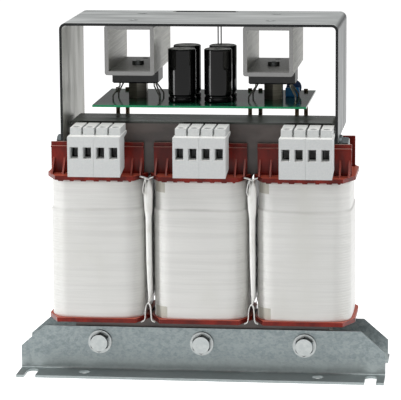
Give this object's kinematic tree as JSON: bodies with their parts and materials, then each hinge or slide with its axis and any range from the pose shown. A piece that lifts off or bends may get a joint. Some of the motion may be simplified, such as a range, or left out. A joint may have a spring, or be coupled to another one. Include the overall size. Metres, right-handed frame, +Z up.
{
  "type": "dry type transformer",
  "caption": "Three-phase dry-type transformer: wound limbs on bent steel rails, screw terminals in front, and a steel bow with heat-sink tubes, rectifiers and a board on top.",
  "frame": {"origin": "on the floor, at the centre of the rectangle of foot holes, under the middle of the core", "axes": "+X along the row of three coils (to the right, seen from the terminals), +Y from the terminal side to the rear, +Z up"},
  "size_m": [0.285, 0.131, 0.2745],
  "materials": {
    "core_lacquer": "semi-gloss impregnating varnish over laminated sheet edges",
    "galvanised_steel": "galvanised, dull, faint spangle",
    "strap_steel": "zinc plated, lightly varnished",
    "bow_steel": "zinc plated, brushed along its length",
    "bright_zinc": "bright zinc plating",
    "spacer_steel": "turned, zinc plated",
    "bobbin_plastic": "moulded, glossy with varnish",
    "winding_copper": "enamelled wire",
    "wrap_tape": "woven tape, finely rippled",
    "insulation_paper": "smooth insulating sheet",
    "terminal_plastic": "moulded, satin",
    "clamp_steel": "zinc plated",
    "sink_aluminium": "extruded, dull",
    "rectifier_epoxy": "moulded epoxy",
    "lead_tin": "tinned wire",
    "board_laminate": "lacquered laminate",
    "capacitor_sleeve": "shrink sleeve",
    "film_blue": "moulded case",
    "varistor_blue": "dipped coating",
    "sensor_case": "moulded case",
    "sensor_sleeve": "sleeved wire",
    "lead_enamel": "enamelled copper wire"
  },
  "bodies": {
    "root": {"core_legs": "core_lacquer", "top_yoke": "core_lacquer", "front_rail": "galvanised_steel", "rear_rail": "galvanised_steel", "yoke_strap": "strap_steel", "bow": "bow_steel", "base_bolts": "bright_zinc", "base_washers": "bright_zinc", "base_nuts": "bright_zinc", "bow_bolts": "bright_zinc", "bow_washers": "bright_zinc", "clinch_nuts": "bright_zinc", "heat_sink_screws": "bright_zinc", "rectifier_screws": "bright_zinc", "board_screws": "bright_zinc", "board_spacers": "spacer_steel", "bobbin_left": "bobbin_plastic", "bobbin_middle": "bobbin_plastic", "bobbin_right": "bobbin_plastic", "winding_left": "winding_copper", "winding_middle": "winding_copper", "winding_right": "winding_copper", "coil_wrap_left": "wrap_tape", "coil_wrap_middle": "wrap_tape", "coil_wrap_right": "wrap_tape", "insulation_sheet_left": "insulation_paper", "insulation_sheet_right": "insulation_paper", "terminal_block_1": "terminal_plastic", "terminal_block_2": "terminal_plastic", "terminal_block_3": "terminal_plastic", "terminal_block_4": "terminal_plastic", "terminal_block_5": "terminal_plastic", "terminal_block_6": "terminal_plastic", "terminal_clamps": "clamp_steel", "terminal_screws": "clamp_steel", "heat_sink_left": "sink_aluminium", "heat_sink_right": "sink_aluminium", "rectifier_left": "rectifier_epoxy", "rectifier_right": "rectifier_epoxy", "rectifier_leads_left": "lead_tin", "rectifier_leads_right": "lead_tin", "circuit_board": "board_laminate", "capacitor_front_left": "capacitor_sleeve", "capacitor_front_right": "capacitor_sleeve", "capacitor_rear_left": "capacitor_sleeve", "capacitor_rear_right": "capacitor_sleeve", "film_capacitor": "film_blue", "varistor": "varistor_blue", "temperature_sensor": "sensor_case", "sensor_wires": "sensor_sleeve", "winding_leads_left": "lead_enamel", "winding_leads_middle": "lead_enamel", "winding_leads_right": "lead_enamel"}
  },
  "joints": []
}
